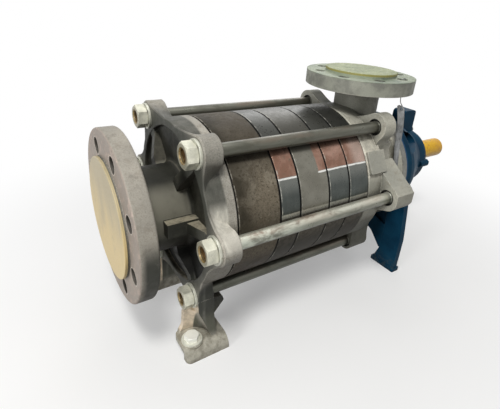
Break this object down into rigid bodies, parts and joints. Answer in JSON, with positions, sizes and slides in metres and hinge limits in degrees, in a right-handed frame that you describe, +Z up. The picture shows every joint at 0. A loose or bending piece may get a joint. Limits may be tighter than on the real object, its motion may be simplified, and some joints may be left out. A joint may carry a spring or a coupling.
{
  "type": "side channel pump",
  "caption": "Horizontal multistage side channel pump with end suction flange, top discharge flange, tie rods, bearing bracket and bare drive shaft end.",
  "frame": {"origin": "centre of the suction flange in its bolting face, on the shaft axis", "axes": "+X along the shaft to the drive end, +Z up through the discharge flange, -Y the side of the square boss pad"},
  "size_m": [0.7285, 0.3158, 0.3815],
  "materials": {
    "cast_steel_warm": "fine cast, weathered",
    "cast_steel_pale": "fine cast, satin",
    "cast_steel_grey": "machined casting",
    "brown_casting": "cast, mottled",
    "machined_steel": "turned, bright",
    "satin_steel": "satin",
    "zinc_rod": "zinc plated, streaked",
    "zinc_plated": "zinc plated",
    "bearing_steel": "ground",
    "bronze": "cast bronze",
    "carbon": "fine ground",
    "seal_ceramic": "lapped",
    "black_rubber": "matte",
    "blue_paint": "satin paint on casting",
    "coated_shaft": "ground steel, drive end with yellow protective coating",
    "yellow_cover": "translucent yellowish plastic"
  },
  "bodies": {
    "pump_casing": {"suction_casing": "cast_steel_warm", "inlet_stage_casing": "brown_casting", "guide_wheel": "bronze", "sleeve_bearing_bush": "carbon", "stage_1_suction_plate": "machined_steel", "stage_1_discharge_plate": "satin_steel", "stage_2_suction_plate": "machined_steel", "stage_2_discharge_plate": "machined_steel", "discharge_casing": "cast_steel_pale", "casing_o_rings": "black_rubber", "tie_rods": "zinc_rod", "tie_rod_nuts": "zinc_plated", "tie_rod_washers": "zinc_plated", "seal_housing": "cast_steel_grey", "seal_stationary_ring": "seal_ceramic", "bearing_bracket": "blue_paint", "bracket_screws": "zinc_plated", "bearing_outer_ring": "bearing_steel", "bearing_cover": "blue_paint", "bearing_cover_screws": "zinc_plated", "shaft_lip_seal": "black_rubber", "foot_washers": "zinc_plated", "foot_bolts": "zinc_plated"},
    "rotor": {"seal_rotating_ring": "carbon", "seal_bellows": "black_rubber", "seal_drive_collar": "satin_steel", "bearing_inner_ring": "bearing_steel", "bearing_balls": "bearing_steel", "bearing_cage": "bronze", "bearing_lock_nut": "satin_steel", "shaft": "coated_shaft", "impeller_keys": "satin_steel", "impeller_nut": "satin_steel", "inlet_impeller": "bronze", "bearing_sleeve": "satin_steel", "stage_1_impeller": "bronze", "stage_spacer_sleeve": "satin_steel", "stage_2_impeller": "bronze", "seal_side_sleeve": "satin_steel", "water_thrower": "black_rubber"},
    "suction_cover": {"suction_flange_cover": "yellow_cover"},
    "discharge_cover": {"discharge_flange_cover": "yellow_cover"}
  },
  "joints": [
    {"name": "shaft_spin", "type": "hinge", "parent": "pump_casing", "child": "rotor", "pos_m": [0, 0, 0], "axis": [1, 0, 0], "continuous": true},
    {"name": "suction_cover_pull", "type": "slide", "parent": "pump_casing", "child": "suction_cover", "axis": [-1, 0, 0], "range_m": [0, 0.15]},
    {"name": "discharge_cover_pull", "type": "slide", "parent": "pump_casing", "child": "discharge_cover", "axis": [0, 0, 1], "range_m": [0, 0.15]}
  ]
}
